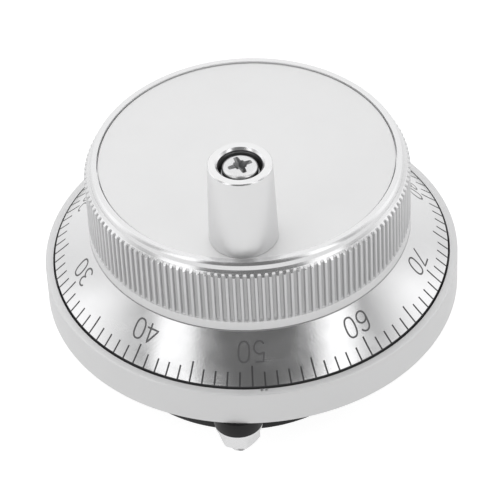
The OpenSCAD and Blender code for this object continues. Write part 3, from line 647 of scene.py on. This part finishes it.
# The cross recess is cut by a tapered punch with four arms. Each arm is wide at
# the middle of the cross and rounded at its end.
reach, width, depth, above, spin = 2.2, 0.52, 1.28, 0.3, 20
arm_outline = [(width * 1.7, -width * 1.7), (width * 1.9, -width), (reach * 0.93, -width * 0.8),
               (reach, -width * 0.4), (reach, width * 0.4), (reach * 0.93, width * 0.8),
               (width * 1.9, width)]
cut = bpy.data.meshes.new("cut")
shape = bmesh.new()
for scale, level in ((1 + above / depth, head_top + above), (0.4, head_top - depth)):
    cross = []
    for arm in range(4):
        a = math.radians(spin + 90 * arm)
        for u, v in arm_outline:
            x, y = u * math.cos(a) - v * math.sin(a), u * math.sin(a) + v * math.cos(a)
            cross.append(shape.verts.new(((crank[0] + x * scale) * MM, (crank[1] + y * scale) * MM,
                                          level * MM)))
    shape.faces.new(cross)
shape.verts.ensure_lookup_table()
count = len(shape.verts) // 2
for i in range(count):
    j = (i + 1) % count
    shape.faces.new([shape.verts[k] for k in (i, j, count + j, count + i)])
bmesh.ops.recalc_face_normals(shape, faces=shape.faces)
shape.to_mesh(cut)
shape.free()
punch = bpy.data.objects.new("cut", cut)
bpy.context.collection.objects.link(punch)
carve = screw.modifiers.new("carve", "BOOLEAN")
carve.operation = "DIFFERENCE"
carve.solver = "EXACT"
carve.object = punch
bpy.context.view_layer.objects.active = screw
bpy.ops.object.modifier_apply(modifier="carve")
bpy.data.objects.remove(punch)
bpy.data.meshes.remove(cut)
screw.data.shade_smooth()
screw.data.set_sharp_from_angle(angle=math.radians(25))
screw.data.materials.append(recess_shade_metal)
for face in screw.data.polygons:
    down = head_top - face.center.z / MM
    if math.dist(face.center.xy / MM, crank) < reach * 1.02 and 0.25 < down < depth * 1.1:
        face.material_index = 1

# Mounting studs: three threaded steel studs hold the bezel to the panel. Each
# has a black spacer, a flat washer and a hexagon nut that stay on it in transit.
stud_circle = 36
studs = [(stud_circle * math.sin(math.radians(az)), -stud_circle * math.cos(math.radians(az)))
         for az in (-6.5, 113.5, 233.5)]
spacer_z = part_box("stud_spacers")[0].z / MM
washer_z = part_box("flat_washers")[0].z / MM
nut_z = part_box("stud_nuts")[0].z / MM
stud_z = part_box("mounting_studs")[0].z / MM
stud_metal = machined("stud_bright", (0.68, 0.68, 0.685), 0.24, lines=0.08, bump=0.04)


def moulded(name, tone, rough):
    """Moulded plastic with a fine spark-eroded grain."""
    mat = bpy.data.materials.new(name)
    mat.use_nodes = True
    tree = mat.node_tree
    bsdf = tree.nodes["Principled BSDF"]
    bsdf.inputs["Specular IOR Level"].default_value = 0.2
    place = link(tree, "ShaderNodeTexCoord").outputs["Object"]
    fine = link(tree, "ShaderNodeTexNoise", Vector=place, Scale=3600.0, Detail=2.0)
    wide = link(tree, "ShaderNodeTexNoise", Vector=place, Scale=60.0, Detail=3.0)
    tint = ramp(tree, wide.outputs[0], [(0.3, [c * 0.85 for c in tone]),
                                        (0.7, [c * 1.2 for c in tone])])
    tree.links.new(tint, bsdf.inputs["Base Color"])
    dull = link(tree, "ShaderNodeMapRange", _0=wide.outputs[0], _1=0.3, _2=0.7, _3=rough - 0.06,
                _4=rough + 0.08)
    tree.links.new(dull.outputs[0], bsdf.inputs["Roughness"])
    relief = link(tree, "ShaderNodeBump", Strength=0.12, Distance=0.0001, Height=fine.outputs[0])
    tree.links.new(relief.outputs[0], bsdf.inputs["Normal"])
    return mat


def threaded(at, top, foot):
    """A screw thread that runs up from a pointed end."""
    r, point_r, pitch, thread_depth, n = 2.0, 1.45, 0.7, 0.43, 40
    rows = max(2, round((top - foot) / pitch * 10))
    levels = [[(at[0], at[1], foot)] * n]
    for k in range(rows + 1):
        z = foot + (top - foot) * k / rows
        level = []
        for i in range(n):
            a = 2 * math.pi * i / n
            phase = (z / pitch - i / n) % 1.0
            depth = thread_depth * abs(2 * phase - 1)
            rr = min(r - depth, point_r + (z - foot) * 1.2)
            level.append((at[0] + rr * math.cos(a), at[1] + rr * math.sin(a), z))
        levels.append(level)
    levels.append([(at[0], at[1], top)] * n)
    return stack(levels, closed=False)


def nut(at, z0, z1):
    """A chamfered hexagon nut, 7 mm across its flats."""
    half, bore, spin, n = 3.5, 1.7, -11, 120
    land = half * 0.96
    levels = [[], [], [], [], [], []]
    for i in range(n):
        a = 2 * math.pi * i / n
        flat = (math.degrees(a) - spin) % 60 - 30
        r = half / math.cos(math.radians(flat))
        drop = max(0.0, (r - half * 0.99) * 0.58)
        outline = ((bore, z0), (land, z0), (r, z0 + drop + 0.02),
                   (r, z1 - drop - 0.02), (land, z1), (bore, z1))
        for level, (rr, z) in zip(levels, outline):
            level.append((at[0] + rr * math.cos(a), at[1] + rr * math.sin(a), z))
    return stack(levels)


def at_studs(inner_r, outer_r, z0, z1, ease):
    """The same turned ring at each of the three studs."""
    outline = eased([(inner_r, z0), (outer_r, z0), (outer_r, z1), (inner_r, z1)], ease)
    return gather([rings(outline, 72, at=p) for p in studs])


stud_top = floor_z - 0.2
spacer_bore, spacer_r, washer_bore, washer_r = 2.2, 4.68, 2.15, 4.5
spacer_plastic = moulded("spacer_black", (0.012, 0.012, 0.0125), 0.5)
mesh_piece("studs", *gather([threaded(p, stud_top, stud_z) for p in studs]), "base",
           "mounting_studs", "screw", stud_metal, angle=50)
mesh_piece("spacers", *at_studs(spacer_bore, spacer_r, spacer_z, 0, 0.2), "base",
           "stud_spacers", "black_plastic", spacer_plastic)
mesh_piece("washers", *at_studs(washer_bore, washer_r, washer_z, spacer_z, 0.1), "base",
           "flat_washers", "screw", stud_metal)
mesh_piece("nuts", *gather([nut(p, nut_z, washer_z) for p in studs]), "base", "stud_nuts",
           "screw", stud_metal, angle=20)

# Rear housing: a black moulded cup behind the panel. Its spigot centres the unit
# in the panel's cut-out, and its open back is closed by the screwed rear cover.
housing_plastic = moulded("housing_black", (0.012, 0.012, 0.0125), 0.5)
back_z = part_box("rear_housing")[0].z / MM
shell_r, shell_x, cup_r, spigot_r, spigot_z = 26.0, -1.8, 23.0, 30, -3


def shell(a):
    """Distance from the axis to the outer wall, which stands a little to one side."""
    return shell_x * math.cos(a) + math.sqrt(shell_r ** 2 - (shell_x * math.sin(a)) ** 2)


outline = [(carrier_r, spigot_z), (cup_r, spigot_z), (cup_r, back_z + 0.1), (cup_r + 0.1, back_z),
           (lambda a: shell(a) - 0.5, back_z), (lambda a: shell(a) - 0.15, back_z + 0.12),
           (shell, back_z + 0.5), (shell, spigot_z - 0.15), (lambda a: shell(a) + 0.15, spigot_z),
           (spigot_r - 0.15, spigot_z), (spigot_r, spigot_z + 0.15), (spigot_r, -0.1),
           (spigot_r - 0.1, 0), (carrier_r, 0)]
mesh_piece("housing", *rings(outline, 240), "base", "rear_housing", "black_plastic",
           housing_plastic)

# Inner works: the bearings, spindle, magnets, toothed click wheel, slotted disc
# and optical pickup. They keep their own shapes and get their real finishes.
ground = machined("ground_steel", (0.6, 0.6, 0.62), 0.25)
sheet_steel = machined("sheet_steel", (0.55, 0.55, 0.57), 0.35)
spring = machined("spring_steel", (0.18, 0.18, 0.2), 0.3)
brass = machined("turned_brass", (0.75, 0.58, 0.28), 0.25)
alloy = machined("inner_aluminium", (0.72, 0.72, 0.73), 0.3)
board = moulded("board_lacquer", (0.03, 0.16, 0.08), 0.3)
resin = moulded("chip_resin", (0.03, 0.03, 0.035), 0.5)
lens = moulded("clear_resin", (0.8, 0.82, 0.85), 0.1)
for finish, names in (
        (ground, ("spindle", "bearing_inner_rings", "bearing_outer_rings", "bearing_balls",
                  "click_magnets")),
        (sheet_steel, ("carrier_screws", "click_stator", "click_rotor", "code_disc",
                       "disc_washer", "disc_screw", "dial_screws", "knob_washer", "knob_screw",
                       "cover_screws", "terminal_washers", "handle_washer", "terminal_screws")),
        (spring, ("retaining_ring",)), (brass, ("bearing_cages", "terminal_posts")),
        (alloy, ("bearing_carrier", "disc_hub")), (board, ("circuit_board",)),
        (resin, ("circuit_chips", "light_detector")), (lens, ("light_emitter",)),
        (housing_plastic, ("sensor_fork", "rear_cover", "terminal_barriers", "handle_bush"))):
    for name in names:
        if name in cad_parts:
            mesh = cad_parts[name].data
            mesh.materials.clear()
            mesh.materials.append(finish)
